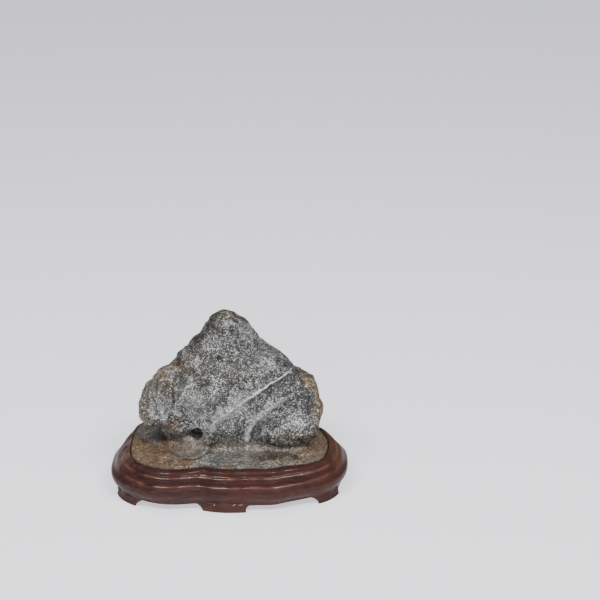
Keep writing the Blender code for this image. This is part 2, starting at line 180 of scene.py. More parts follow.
# %% Lines of relief
# Each point is x and z in mm. All but the lower vein are used again for the bright seam
# and for the painted shade in the cracks.
SEAM_RUN = ((43.7, 83.2), (36.6, 81.2), (30.4, 78.4), (26.5, 76.7), (22.6, 75), (18.7, 72.7))
CHEEK_FOLD = ((-37.2, 84.5), (-38.4, 81.2), (-38, 73.5), (-38.3, 67.7), (-39.6, 61.5), (-41, 55))
CHEEK_CURL = ((-40.5, 88.6), (-45, 87), (-49.5, 83.5), (-51.5, 80), (-51.2, 75.5))
CHEEK_KINK = ((-43.6, 82), (-44.3, 77.2), (-46.7, 76), (-44.6, 74.7), (-42.6, 72))
CHEEK_CREASE = ((-54.5, 71.6), (-53, 69), (-51, 66.6), (-52, 61))
RIGHT_FOLD = ((30.2, 56.2), (35.9, 56.9), (42.5, 58), (47.2, 63.3), (49.3, 66.4))
LOWER_VEIN = (
    (26.5, 62.6), (24.1, 57.5), (19.5, 54.7), (16.3, 52.1), (13.9, 46), (12.3, 39.9), (10.6, 33.4))

FRONT_RELIEF = (            # a line, then its half width and its rise in mm
    (((47.8, 84.5),) + SEAM_RUN, 0.8, 0.6),
    (((42, 80.8), (31, 76.2), (20, 70.4), (11, 64.5)), 1.2, -0.6),
    (((18.7, 72.7), (11.7, 68.4), (6.2, 64.2), (0, 60.9), (-7.9, 54.2), (-12, 50.2)), 2.2, 0.55),
    (((50, 71.4), (42.9, 70.8), (34.5, 67.5), (26.5, 62.6)), 2.4, 0.5),
    (LOWER_VEIN, 1.6, 0.8),
    (((20.5, 51.5), (17, 46), (15.2, 39)), 1.2, -0.8),
    (RIGHT_FOLD, 0.9, -0.9),
    (((-37, 89.5),) + CHEEK_FOLD, 1.0, -1.4),
    (CHEEK_CURL, 0.9, -1.0),
    (CHEEK_KINK, 0.9, -0.9),
    (CHEEK_CREASE, 0.9, -0.9),
    (((-58, 78), (-59.8, 72.4), (-58, 66), (-60, 60)), 0.9, -0.7),
    (((-45, 68), (-43.4, 62), (-46, 56)), 0.8, -0.6),
    (((-47.2, 86), (-48.2, 80), (-47, 72), (-48.6, 64)), 1.4, 0.5),
    (((-41.5, 79), (-40.8, 71), (-42.6, 63)), 1.2, 0.5),
    (((-55.5, 79), (-56.2, 73), (-54.8, 66), (-56, 58)), 1.3, 0.5),
    (((-27, 84), (-28.4, 79), (-30.5, 73.5)), 1.0, -0.5),
    (((-12, 117), (-18, 107.5), (-25, 99), (-30.5, 90.5)), 1.4, 0.5),
    (((12, 106), (19, 98), (25, 90)), 1.6, -0.4),
)
FOOT_RELIEF = (             # the same on the foot, where the points are x and y
    (((-15.6, -16), (-15.4, -20), (-18, -26), (-24, -31), (-32, -32)), 1.3, 1.3),
    (((-45, -13), (-36, -21), (-26, -23.5)), 4.0, -0.9),
    (((-8, -29), (8, -31), (26, -29), (46, -19)), 0.8, 0.5),
    (((-12, -33), (4, -36), (24, -34.5), (46, -24.5)), 0.8, -0.5),
    (((-2, -39), (16, -39.5), (34, -35.5), (52, -23)), 0.9, 0.5),
    (((-20, -39.5), (-8, -41.5), (6, -41.5)), 0.9, -0.6),
    (((-60, -20), (-48, -28), (-36, -35)), 1.4, 0.4),
    (((-64, 2), (-56, -6), (-48, -14)), 1.6, -0.4),
)


def distance_to_line(across, up, line):
    """Distance from each point to a broken line drawn in the same plane."""
    nearest = np.full(len(across), 1.0e3)
    for start, end in zip(line, line[1:]):
        run_across = end[0] - start[0]
        run_up = end[1] - start[1]
        ahead = (across - start[0]) * run_across + (up - start[1]) * run_up
        share = np.clip(ahead / (run_across ** 2 + run_up ** 2), 0.0, 1.0)
        span = np.hypot(across - start[0] - share * run_across, up - start[1] - share * run_up)
        nearest = np.minimum(nearest, span)
    return nearest


def line_height(across, up, lines):
    height = np.zeros(len(across))
    for line, half_width, rise in lines:
        height += rise * np.exp(-((distance_to_line(across, up, line) / half_width) ** 2))
    return height


# %% Press the lines in
skin = read_points(stone)
facing = read_points(stone, "normal")
waver = 0.8 * np.column_stack([lumps(skin, 4.0 * MM, 2, seed) for seed in (3.0, 7.0, 11.0)])
drawn = skin / MM + waver       # a line on a natural stone is never ruled
on_foot = smooth_step(38.0, 34.5, skin[:, 2] / MM)
on_front = smooth_step(0.05, 0.45, -facing[:, 1]) * (1.0 - 0.7 * on_foot)
relief = line_height(drawn[:, 0], drawn[:, 2], FRONT_RELIEF) * on_front
foot_lines = line_height(drawn[:, 0], drawn[:, 1], FOOT_RELIEF)
relief += foot_lines * smooth_step(0.1, 0.6, facing[:, 2]) * on_foot
print("drawn relief, in mm:", round(relief.min(), 2), "to", round(relief.max(), 2))

# %% [markdown]
# ## The stone, part three: pear skin
#
# Collectors call this surface pear skin: close, shallow pits between rounded grains, all
# over the body. It is worn smooth in the hollow by the door and on the foot, and the left
# cheek is wrinkled more than it is pitted. The pits are the dips of a fine noise, the
# dents between them a coarser one, and the wrinkles follow the lines where a noise drawn
# out upwards is near zero.

# %% Pits, dents and wrinkles
BASIN = ((-30, -19, 33), (15.5, 13.5, 8))   # centre and half sizes, in mm
DOOR = ((-23, -14, 41.5), (6.5, 12, 7.5))
LEFT_CHEEK = ((-52, -6, 66), (17, 40, 26))
HIGHEST_GRAIN = 0.12        # the noise is cut off here, so that only its dips are left
WRINKLE = 0.22              # a wrinkle is where the noise is nearer to zero than this


def inside_ball(points, ball):
    """1 in the middle of a stretched ball, falling to 0 at its surface."""
    centre, half_sizes = ball
    reach = np.sqrt((((points - np.array(centre)) / np.array(half_sizes)) ** 2).sum(axis=1))
    return smooth_step(1.15, 0.75, reach)


worn = np.maximum(inside_ball(drawn, BASIN), inside_ball(drawn, DOOR))
worn = np.maximum(worn, 0.55 * on_foot)
dents = lumps(skin, 6.0 * MM, 2, 21.0)
fine = lumps(skin, 1.9 * MM, 2, 33.0)
pits = np.minimum(fine, HIGHEST_GRAIN)
left_cheek = inside_ball(drawn, LEFT_CHEEK)
wrinkled = np.abs(lumps(skin * np.array((1.0, 1.0, 0.42)), 2.6 * MM, 2, 37.0))
relief += 0.75 * dents * (1.0 - 0.6 * worn)
relief += 0.7 * pits * (1.0 - 0.75 * worn) * (1.0 - 0.5 * left_cheek)
relief -= 1.1 * np.clip(WRINKLE - wrinkled, 0.0, WRINKLE) / WRINKLE * left_cheek * (1.0 - on_foot)
print("pear skin from", round(relief.min(), 2), "to", round(relief.max(), 2), "mm")

# %% [markdown]
# ## The stone, part four: its seat
#
# The stone was let into the board with hardly a gap, so its skin stays true below the top
# of the stand. Softening has rounded the upper edge of the foot, which would leave a dark
# ditch along the lip. So the wall is brought back out to the drawn plan and the rim up to
# one level, and what is left is a thin, even line. The distance of each point from that
# plan is kept too, for the painted shade that is drawn along the joint.

# %% Push the skin out and true its edge
STAND_TOP = 29.4            # mm
SEAT = 17.3                 # mm, the underside of the stone

free = smooth_step(STAND_TOP - 2.5, STAND_TOP + 0.5, skin[:, 2] / MM)
skin = skin + facing * (relief * free * MM)[:, None]
angle = np.arctan2(skin[:, 1], skin[:, 0])
radius = np.hypot(skin[:, 0], skin[:, 1])
edge = plan_radius(angle, STONE_EDGE)
on_rim = smooth_step(2.2, 1.4, (edge - radius) / MM) * smooth_step(24.0, 26.0, skin[:, 2] / MM)
on_rim *= skin[:, 2] < (STAND_TOP + 0.4) * MM
outward = on_rim * smooth_step(0.75, 0.4, facing[:, 2])
upward = on_rim * smooth_step(0.4, 0.75, facing[:, 2])
radius += outward * (edge - radius)
height = skin[:, 2] + upward * np.maximum((STAND_TOP - 0.1) * MM - skin[:, 2], 0.0)
in_recess = height < (STAND_TOP + 0.4) * MM
radius = np.where(in_recess, np.minimum(radius, edge), radius)
skin = np.column_stack((radius * np.cos(angle), radius * np.sin(angle), np.maximum(height, SEAT * MM)))
to_edge = np.where(in_recess, (edge - radius) / MM, 99.0)
write_points(stone, skin)
select_only(stone)
bpy.ops.object.shade_smooth()
print("seated edge:", int((to_edge < 0.01).sum()), "points lie on the drawn plan")

# %% [markdown]
# ## The stone, part five: where it changes colour
#
# Iron and soil have stained the stone in places: the left cheek is olive brown, the foot
# is ochre at its ends, the veins are nearly white. A few marks paint light and shade
# instead: painted shade under the body and along the joint with the stand, painted fill
# light in shaded corners, and painted glints. Each finish gets a mask, a number from 0 to
# 1 at every point of the skin, painted round balls and lines with a wavering edge. The
# material reads the masks by name, so the stains stay where they are from any side.

# %% Balls of colour
def blotches(points, balls):
    """The strongest of several soft balls, each a centre, half sizes and a strength."""
    cover = np.zeros(len(points))
    for centre, half_sizes, strength in balls:
        cover = np.maximum(cover, strength * inside_ball(points, (centre, half_sizes)))
    return cover


stain_waver = 3.2 * np.column_stack([lumps(skin, 9.0 * MM, 3, seed) for seed in (41.0, 47.0, 53.0)])
stained = skin / MM + stain_waver
print("the stains waver by up to", round(float(np.abs(stain_waver).max()), 1), "mm")

# %% Brown, dark and pale stains, with painted shade and painted fill light in places
turned_away = smooth_step(-0.3, 0.35, facing[:, 1]) * (1.0 - on_foot)
olive = blotches(stained, (
    ((-50, 0, 84), (18, 50, 12), 1.0),
    ((-60, 0, 66), (11, 50, 26), 0.6),
    ((30, 34, 60), (22, 12, 26), 0.7),
    ((-4, 10, 124), (12, 14, 6), 0.6),
    ((48, -22, 44), (15, 12, 4.5), 0.9),
    ((-10, -18, 37), (9, 9, 6), 0.5),
    ((64, 4, 60), (9, 30, 26), 0.8),
    ((-44, -14, 74), (13, 14, 18), 0.55),
))
olive = np.maximum(olive, 0.6 * turned_away)
ochre = blotches(stained, (
    ((-60, -6, 29), (22, 42, 7), 1.0),
    ((-40, -36, 29), (20, 10, 7), 0.9),
    ((62, 0, 29), (22, 32, 7), 0.8),
    ((40, -30, 29), (26, 10, 6), 0.5),
    ((0, 40, 29), (60, 14, 7), 0.6),
    ((-2.2, -43, 29), (4, 3.5, 4), 0.9),
    ((58, 8, 76), (9, 14, 9), 0.6),
    ((66, 5, 62), (6, 18, 17), 0.6),
    ((-42, -17, 48.5), (8, 9, 3.2), 0.6),
    ((-45.5, -6, 84), (8, 14, 6), 0.3),
))
rust = blotches(stained, (
    ((-31.7, -4, 87.5), (3.4, 9, 2.6), 0.6),
    ((-28, 0, 95), (2.2, 7, 2.2), 0.5),
    ((-50, -10, 29.5), (15, 9, 4), 0.3),
    ((22, 36, 84), (8, 8, 7), 0.7),
    ((-20, 34, 50), (9, 8, 6), 0.5),
))
# Dark stains and painted shade. The balls at (1, -20, 45), (42, -20, 39) and (-40.5, -9, 36.5), where
# the body meets the foot and under the left cheek, are painted shade; the others are dark stains.
dark_stain_and_shade = blotches(stained, (
    ((-33.8, -9, 80.5), (3.6, 12, 5.2), 0.95),
    ((-22, -4, 90), (10, 10, 7), 0.4),
    ((-20, -10, 82), (9, 10, 9), 0.6),
    ((1, -20, 45), (13, 9, 6.5), 0.45),
    ((42, -20, 39), (20, 12, 5.5), 0.75),
    ((-40.5, -9, 36.5), (5, 7, 3.2), 0.85),
    ((-12, 7, 121), (8, 12, 9), 0.6),
    ((-22, 6, 105), (8, 12, 16), 0.5),
    ((-4, -10, 90), (15, 14, 8), 0.4),
    ((12, -14, 80), (12, 12, 6), 0.45),
    ((33, -29, 30), (19, 8, 4), 0.75),
))
# Pale stains and painted fill light. The balls at (-62, 16, 29), at the back of the foot's left end,
# and (-52, -12, 78), on the left cheek, lighten places that lie in shade.
pale_stain_and_fill_light = blotches(stained, (
    ((-26.3, -8, 79.4), (2.4, 9, 4.6), 1.0),
    ((-25, -15, 68), (11, 9, 7), 0.85),
    ((-22, -18, 60), (11, 9, 6), 0.6),
    ((27, 0, 94), (8, 10, 9), 0.7),
    ((12, 6, 110), (5.5, 9, 8), 0.7),
    ((-39.8, -9, 83.5), (4, 9, 3.6), 1.0),
    ((-46, -20, 63), (11, 12, 11), 0.75),
    ((-35, -14, 70), (4, 9, 9), 0.5),
    ((-62, 16, 29), (10, 14, 4), 0.6),
    ((-52, -12, 78), (8, 12, 5), 0.75),
    ((56, -12, 53), (8, 9, 4.5), 0.4),
    ((46, -21, 53.5), (14, 8, 4), 0.35),
    ((-9.5, -33, 29.5), (15, 9, 3.5), 0.75),
    ((-51, -13, 74), (8, 9, 5), 0.5),
    ((-54.5, 8, 29), (6, 12, 4), 0.6),
))
slate = blotches(stained, (
    ((-5, -21, 57.5), (9, 9, 6), 0.8),
    ((42, 6, 84.5), (2.6, 5, 2), 1.0),
    ((-20, -12, 54), (9, 9, 5), 0.5),
))
stains_and_painted_light = {"olive": olive, "ochre": ochre, "rust": rust, "dark_stain_and_shade": dark_stain_and_shade, "pale_stain_and_fill_light": pale_stain_and_fill_light, "slate": slate}
for name, cover in stains_and_painted_light.items():
    store_mask(stone, name, cover)

# %% Worn places, painted fill light, painted glints and painted shade
# The worn basin, and painted fill light. The balls at (-32, -11, 37), (-60, 18, 30.5) and (-42, -14,
# 43.5), under the left cheek and at the back of the foot's left end, lighten the shade there.
smooth_wear_and_fill_light = blotches(drawn, (
    (*BASIN, 1.0),
    ((-32, -11, 37), (9.5, 9, 4.5), 0.8),
    ((2, -22, 37), (14, 8, 4.5), 0.45),
    ((-52, 2, 30.5), (7, 9, 5), 0.7),
    ((-60, 18, 30.5), (11, 14, 6), 1.0),
    ((-42, -14, 43.5), (9, 9, 4.5), 0.5),
    ((-57, -4, 80), (6, 16, 10), 0.7),
    ((-48, -2, 89), (8, 14, 3.5), 0.6),
))
# Painted glints: places where more of the fleck peaks are painted near white.
painted_sparkle = blotches(stained, (
    ((44, -21, 54), (15, 10, 8), 1.0),
    ((-9, -12, 77), (7, 9, 9), 0.9),
    ((56, -6, 69), (5, 8, 7), 0.9),
    ((15, -10, 80), (9, 8, 4), 0.7),
    ((-14, -16, 56), (7, 8, 8), 0.5),
))
# Painted shade along the joint with the stand, on the front half of the stone.
to_edge_wavering = to_edge + 0.5 * lumps(skin, 7.0 * MM, 2, 83.0)
joint_shade = smooth_step(1.3, 0.5, to_edge_wavering) * smooth_step(8.0, -8.0, drawn[:, 1])
wear_and_painted_light = {"smooth_wear_and_fill_light": smooth_wear_and_fill_light, "painted_sparkle": painted_sparkle, "joint_shade": joint_shade, "foot": on_foot, "pit_shade": -3.0 * fine}
for name, cover in wear_and_painted_light.items():
    store_mask(stone, name, cover)

# %% [markdown]
# ## The stone, part six: veins, the bright seam and painted shade in the cracks
#
# Veins, and the painted shade in the cracks and folds, are lines with a soft edge, drawn as
# the relief was. The bright seam is finer than the faces of the skin, so a mask of it would
# come out as a row of beads.
# Instead each point keeps its distance from the seam, which changes evenly from point to
# point, and the material turns it into a crisp line. For that the seam is drawn right
# across the stone, and a second mask says how strong it is along the way.

# %% Bright seam
x, y, z = drawn.T
SEAM = (((120, 108.6), (48.5, 84.8)) + SEAM_RUN
        + ((13, 69), (7.7, 65.1), (-1.5, 60.2), (-7.9, 55.2), (-12.7, 50.5), (-120, -54.6)))
SEAM_STRENGTH = (           # x in mm, and how strong the seam is there
    (-14, 0), (-11, 0.5), (-4, 0.45), (4, 0.2), (10, 0.3), (17, 0.7), (24, 1),
    (40, 0.85), (46, 0.5), (49, 0))
SEAM_REACH = 12.0           # mm over which the stored distance runs from 0 to 1


def side_of_line(across, up, line):
    """Distance to a broken line, positive above it and negative below."""
    up_there = np.interp(across, *zip(*reversed(line)))
    return np.sign(up - up_there) * distance_to_line(across, up, line)


store_mask(stone, "seam", 0.5 + side_of_line(x, z, SEAM) / SEAM_REACH)
store_mask(stone, "seam_span", on_front * np.interp(x, *zip(*SEAM_STRENGTH)))

# %% Veins
def seams(across, up, lines):
    """The strongest of several soft lines, each with a half width and a strength."""
    cover = np.zeros(len(across))
    for line, half_width, strength in lines:
        spread = (distance_to_line(across, up, line) / half_width) ** 2
        cover = np.maximum(cover, strength * np.exp(-spread))
    return cover


vein = on_front * seams(x, z, (
    (((24, 75.2), (18.7, 72.4), (11.7, 68.2), (6.2, 64)), 1.8, 0.65),
    (((8, 64.8), (0, 60.5), (-7.9, 54), (-12, 50)), 4.2, 0.9),
    (((44.5, 69.9), (37.5, 67.1), (30, 64.5)), 1.0, 0.5),
    (((29, 63.8), (26.5, 62), (24.1, 58), (19.5, 54.7), (16.3, 52.1)), 2.6, 0.85),
    (((16.3, 52.1), (13.9, 46), (12.3, 39.9), (10.6, 33.4)), 2.3, 0.9),
    (((25.7, 53.9), (24.5, 49.4), (23.3, 42.7)), 0.6, 0.5),
    (((-8.8, 77), (-10.5, 72), (-10, 66)), 0.6, 0.6),
    (((-22.6, 96.5), (-23.2, 92), (-23.8, 87)), 0.8, 0.85),
    (((-55, 66.5), (-53.5, 61)), 1.0, 0.7),
    (((-50, 69), (-48, 66), (-46, 63)), 1.2, 0.75),
    (((-46.5, 61), (-45.5, 55), (-45.5, 50)), 1.3, 0.7),
    (((-42, 62), (-41.5, 56)), 0.9, 0.6),
    (((-31, 76), (-33, 70), (-32.5, 65)), 0.8, 0.6),
    (((2, 108), (4.5, 100), (4, 94)), 0.8, 0.45),
    (((16, 104), (19, 97), (18, 90)), 0.9, 0.45),
    (((-25.7, 47.8), (-21.4, 48.8), (-17.5, 44.5), (-16.1, 38), (-16, 33)), 1.0, 0.6),
))
BASIN_RIM = ((-15.8, -16), (-15.6, -20), (-18.6, -25.5), (-25, -30.6), (-33, -30))
vein = np.maximum(vein, on_foot * seams(x, y, ((BASIN_RIM, 1.1, 0.8),)))
store_mask(stone, "vein", vein)

# %% Painted shade in the cracks and folds
crease_shade = on_front * seams(x, z, (
    (((-37, 89),) + CHEEK_FOLD, 1.0, 0.75),
    (CHEEK_CURL, 0.8, 0.7),
    (CHEEK_KINK, 0.8, 0.65),
    (CHEEK_CREASE, 0.8, 0.6),
    (RIGHT_FOLD, 0.8, 0.6),
    (((42, 80.8), (31, 76.2), (20, 70.4)), 0.8, 0.5),
    (((20, 51), (17.2, 46), (15.6, 39)), 0.9, 0.6),
    (((44, 81.6), (36.6, 79.4), (28, 75.4), (20, 70.8)), 0.8, 0.6),
))
crease_shade = np.maximum(crease_shade, on_foot * seams(x, y, (
    (((-13.4, -15), (-13.2, -21), (-16.4, -27.4), (-23, -33.2), (-32, -33.6)), 0.9, 0.9),
    (((-22, -18), (-27, -23), (-35, -24.5), (-41, -20)), 0.9, 0.5),
    (((-24, -25.5), (-31, -27.5), (-39, -27)), 0.7, 0.45),
    (((-12, -33.5), (4, -36.5), (24, -35), (46, -25)), 0.7, 0.5),
    (((0, -28), (16, -29.5), (36, -28)), 0.8, 0.45),
    (((-20, -40), (-8, -42), (8, -42), (22, -40)), 0.8, 0.5),
    (((-64, 4), (-56, -5), (-46, -12)), 0.9, 0.4),
    (((-52, -38), (-40, -40.5), (-28, -41)), 0.8, 0.5),
)))
store_mask(stone, "crease_shade", crease_shade)

# %% [markdown]
# ## Materials from nodes
#
# Both materials are built from noise in object coordinates, so they need no picture and
# don't slide. A few short functions add the nodes that come back again and again: a
# noise, a colour ramp, a mix, a sum and a mask that was stored on the mesh.

# %% Node helpers
def colour(red, green, blue):
    """A colour named by its screen values from 0 to 255, as the linear light Blender wants."""
    return tuple(((c / 255.0 + 0.055) / 1.055) ** 2.4 for c in (red, green, blue)) + (1.0,)


def new_material(name):
    material = bpy.data.materials.new(name)
    material.use_nodes = True
    return material, material.node_tree, material.node_tree.nodes["Principled BSDF"]


def object_place(tree, stretch=(1.0, 1.0, 1.0), turn=(0.0, 0.0, 0.0)):
    """Object coordinates in millimetres, stretched and turned for one pattern."""
    place = tree.nodes.new("ShaderNodeTexCoord")
    mapping = tree.nodes.new("ShaderNodeMapping")
    mapping.inputs["Scale"].default_value = [1000.0 * side for side in stretch]
    mapping.inputs["Rotation"].default_value = turn
    tree.links.new(place.outputs["Object"], mapping.inputs["Vector"])
    return mapping.outputs["Vector"]


def noise_of(tree, place, size, detail=3.0, roughness=0.55, distortion=0.0):
    """Noise whose lumps are about size millimetres across."""
    node = tree.nodes.new("ShaderNodeTexNoise")
    node.inputs["Scale"].default_value = 1.0 / size
    node.inputs["Detail"].default_value = detail
    node.inputs["Roughness"].default_value = roughness
    node.inputs["Distortion"].default_value = distortion
    tree.links.new(place, node.inputs["Vector"])
    return node.outputs["Fac"]


def ramp_of(tree, factor, stops):
    """Turn a value into a colour, or into grey where a stop is given as one number."""
    node = tree.nodes.new("ShaderNodeValToRGB")
    marks = node.color_ramp.elements
    while len(marks) < len(stops):
        marks.new(0.5)
    for mark, (position, tone) in zip(marks, stops):
        mark.position = position
        mark.color = tone if isinstance(tone, tuple) else (tone, tone, tone, 1.0)
    tree.links.new(factor, node.inputs["Fac"])
    return node.outputs["Color"]


def set_or_link(tree, sockets, values):
    """Give each socket its value: a plain number or colour, or another node's output."""
    for socket, value in zip(sockets, values):
        if isinstance(value, bpy.types.NodeSocket):
            tree.links.new(value, socket)
        else:
            socket.default_value = value


def mix_of(tree, factor, first, second):
    """Go from the first colour to the second as the factor goes from 0 to 1."""
    node = tree.nodes.new("ShaderNodeMix")
    node.data_type = "RGBA"
    set_or_link(tree, (node.inputs[0], node.inputs[6], node.inputs[7]), (factor, first, second))
    return node.outputs[2]


def maths(tree, operation, *values):
    node = tree.nodes.new("ShaderNodeMath")
    node.operation = operation
    set_or_link(tree, node.inputs, values)
    return node.outputs[0]


def times(tree, first, second):
    return maths(tree, "MULTIPLY", first, second)


def plus(tree, first, second):
    return maths(tree, "ADD", first, second)


def off_middle(tree, value):
    return maths(tree, "SUBTRACT", value, 0.5)


def mask_of(tree, name, share=1.0):
    """A mask stored on the mesh, or a share of it."""
    node = tree.nodes.new("ShaderNodeAttribute")
    node.attribute_name = name
    return node.outputs["Fac"] if share == 1.0 else times(tree, node.outputs["Fac"], share)


def bump_of(tree, height, distance, strength, below=None):
    node = tree.nodes.new("ShaderNodeBump")
    node.inputs["Strength"].default_value = strength
    node.inputs["Distance"].default_value = distance
    tree.links.new(height, node.inputs["Height"])
    if below is not None:
        tree.links.new(below, node.inputs["Normal"])
    return node.outputs["Normal"]


print("a mid grey of 128 on screen is", round(colour(128, 128, 128)[0], 3), "in linear light")

# %% [markdown]
# ## The stone's material
#
# Seen close, the stone is nearly black with whitish flecks, each a millimetre or so and
# slightly drawn out. Noises of four sizes are added up for them: grains, flecks, worm-like
# strokes and patches. A fifth, broad one lets the flecks gather and thin out. One soft ramp
# turns the sum into ground and fleck, and its highest peaks are painted near white as
# glints, a painted highlight. A picture wrapped round the stone would show where it joins,
# and noise in space has no join.

# %% Flecks from added noises
stone_finish, tree, shader = new_material("pear_skin_stone")
place = object_place(tree)
broad = noise_of(tree, place, 14.0, 3.0)
patch_noise = noise_of(tree, place, 4.2, 2.0, 0.5, 0.8)
worm_noise = noise_of(tree, place, 1.9, 1.5, 0.5, 1.2)
fleck_noise = noise_of(tree, place, 1.05, 2.0, 0.6, 0.8)
grain_noise = noise_of(tree, place, 0.66, 1.0, 0.5, 0.4)

# Worms run where their noise crosses its middle. The rest swing about theirs.
worm = maths(tree, "SUBTRACT", 0.16, maths(tree, "ABSOLUTE", off_middle(tree, worm_noise)))
gathered = plus(tree, 0.391, times(tree, worm, 0.95))
for source, share in ((fleck_noise, 0.95), (grain_noise, 1.05), (patch_noise, 0.34), (broad, 0.45)):
    gathered = plus(tree, gathered, times(tree, off_middle(tree, source), share))
fleck = ramp_of(tree, gathered, ((0.44, 0.0), (0.55, 0.2), (0.64, 0.6), (0.76, 1.0)))
# Painted glints: the highest peaks of the sum, and more of them in a few listed places, are painted
# near white.
painted_glint = ramp_of(tree, plus(tree, gathered, mask_of(tree, "painted_sparkle", 0.11)), ((0.77, 0.0), (0.84, 1.0)))
print("flecks are made by", len(tree.nodes), "nodes so far")

# %% [markdown]
# Every stain swaps in its own pair of ground and fleck colours, in an order: what comes
# later lies over what came before. The dark, pale and smooth ones also carry painted shade
# and painted fill light in places. The foot comes first, so that stains still show on it.

# %% Stains, veins, dark patches, painted shade and painted glints
tone = mix_of(tree, fleck, colour(33, 32, 32), colour(190, 188, 184))
for stain, ground, light in (
    ("foot", colour(87, 82, 76), colour(204, 197, 186)),
    ("olive", colour(64, 58, 48), colour(202, 188, 166)),
    ("slate", colour(54, 60, 66), colour(176, 184, 192)),
    ("ochre", colour(98, 77, 58), colour(196, 166, 134)),
    ("dark_stain_and_shade", colour(27, 27, 24), colour(112, 107, 96)),
    ("smooth_wear_and_fill_light", colour(104, 97, 89), colour(158, 148, 137)),
    ("pale_stain_and_fill_light", colour(84, 85, 84), colour(206, 206, 202)),
    ("rust", colour(74, 54, 40), colour(164, 134, 108)),
):
    tone = mix_of(tree, mask_of(tree, stain), tone, mix_of(tree, fleck, ground, light))

in_patches = ramp_of(tree, patch_noise, ((0.35, 0.5), (0.55, 1.0)))
vein_tone = mix_of(tree, fleck, colour(132, 133, 133), colour(222, 223, 222))
tone = mix_of(tree, times(tree, mask_of(tree, "vein"), in_patches), tone, vein_tone)
# Painted shade in the cracks and folds that the relief presses in.
tone = mix_of(tree, mask_of(tree, "crease_shade"), tone, colour(32, 30, 28))
# Painted shade in the pits of the skin.
tone = mix_of(tree, mask_of(tree, "pit_shade", 0.6), tone, colour(28, 28, 29))
worn_thin = ramp_of(tree, patch_noise, ((0.46, 0.0), (0.62, 0.5)))
tone = mix_of(tree, times(tree, worn_thin, mask_of(tree, "foot")), tone, colour(64, 56, 47))
# Painted shade along the joint with the stand.
tone = mix_of(tree, mask_of(tree, "joint_shade", 0.85), tone, colour(38, 31, 26))
# Painted glints, near white in the colour and fewer on the foot.
less_on_foot = maths(tree, "SUBTRACT", 0.85, mask_of(tree, "foot", 0.75))
tone = mix_of(tree, times(tree, painted_glint, less_on_foot), tone, colour(232, 232, 229))
print("with its stains the stone takes", len(tree.nodes), "nodes")

# %% [markdown]
# The bright seam is drawn from its stored distance and broken up by the patches. A slight
# gloss stays on the flecks, because such stones are handled and rubbed for years. The bump
# only adds grain that is finer than the faces of the skin.

# %% Bright seam, gloss and fine grain
off_seam = maths(tree, "ABSOLUTE", off_middle(tree, mask_of(tree, "seam")))
seam = times(tree, ramp_of(tree, off_seam, ((0.014, 1.0), (0.044, 0.0))), mask_of(tree, "seam_span"))
broken = ramp_of(tree, patch_noise, ((0.38, 0.4), (0.56, 1.0)))
tone = mix_of(tree, times(tree, seam, broken), tone, colour(222, 223, 221))
tree.links.new(tone, shader.inputs["Base Color"])
tree.links.new(ramp_of(tree, gathered, ((0.42, 0.55), (0.68, 0.32))), shader.inputs["Roughness"])
surface = bump_of(tree, fleck_noise, 0.6 * MM, 0.6)
surface = bump_of(tree, grain_noise, 0.35 * MM, 0.6, surface)
tree.links.new(surface, shader.inputs["Normal"])
stone.data.materials.clear()
stone.data.materials.append(stone_finish)
print("stone material:", len(tree.nodes), "nodes")

# %% [markdown]
# ## The stand, part one: turning the moulding
#
# The rim is one moulding that runs all the way round: a thin lip that hugs the stone, a
# sweep, a bead, a hollow, a rounded edge and a full belly that tucks under to the feet. A
# ring of points is extruded and scaled once for each step of that section, which gives a
# turned blank. The blank is then carried to the lobed plan. A Screw modifier would turn
# the section too; the ring is closer to how a turner works through it, cut by cut.

# %% Section of the moulding
RING_STEPS = 800
BLANK_RADIUS = 60.0         # mm, the stone's edge on the turned blank
RECESS_FLOOR = 17.0         # mm
UNDERSIDE = 6.2             # mm
CLEARANCE = 0.2             # mm between the stone and the wall of its recess


def arc(centre, radii, start, end, steps):
    """Points of an arc in the section, in mm; angles in degrees, both ends included."""
    turns = np.radians(np.linspace(start, end, steps + 1))
    return [(centre[0] + radii[0] * math.cos(t), centre[1] + radii[1] * math.sin(t)) for t in turns]


def straight(start, end, steps):
    """Points between two others, without the first."""
    start, run = np.array(start), np.array(end) - np.array(start)
    return [tuple(start + run * k / steps) for k in range(1, steps + 1)]


# Each point is its distance outside the stone's edge and its height.
section = [(CLEARANCE, RECESS_FLOOR), (CLEARANCE, 20.5), (CLEARANCE, 25.0), (0.22, 28.3)]
section += arc((0.95, 28.4), (0.7, 0.6), 175.0, 50.0, 5)              # lip
section += arc((5.75, 28.95), (4.0, 3.8), 184.0, 258.0, 7)            # sweep down to the bead
section += [(5.3, 24.85)]
section += arc((6.6, 23.1), (1.8, 1.8), 128.0, -20.0, 10)             # bead
section += arc((12.7, 23.8), (4.6, 3.8), 202.0, 262.0, 8)             # hollow
section += arc((11.0, 18.5), (1.45, 1.45), 92.0, 10.0, 8)             # rounded edge
section += arc((5.6, 13.8), (8.0, 7.0), 28.0, -46.0, 14)              # belly
section += [(10.8, 8.0), (10.4, 7.3), (10.1, 6.75)]
section += straight(section[-1], (9.8, 5.0), 4)
section += straight(section[-1], (9.6, 2.4), 5)
section += straight(section[-1], (10.2, 0.0), 5)
section += [(6.0, 0.0), (0.0, 0.0), (-4.0, 0.0)]                      # under the foot
section += [(-4.6, 1.4), (-5.2, 3.2), (-5.8, 5.0), (-6.4, UNDERSIDE)]
section_top = max(up for _, up in section)
print("moulding:", len(section), "cuts, from", round(section_top, 1), "mm down")

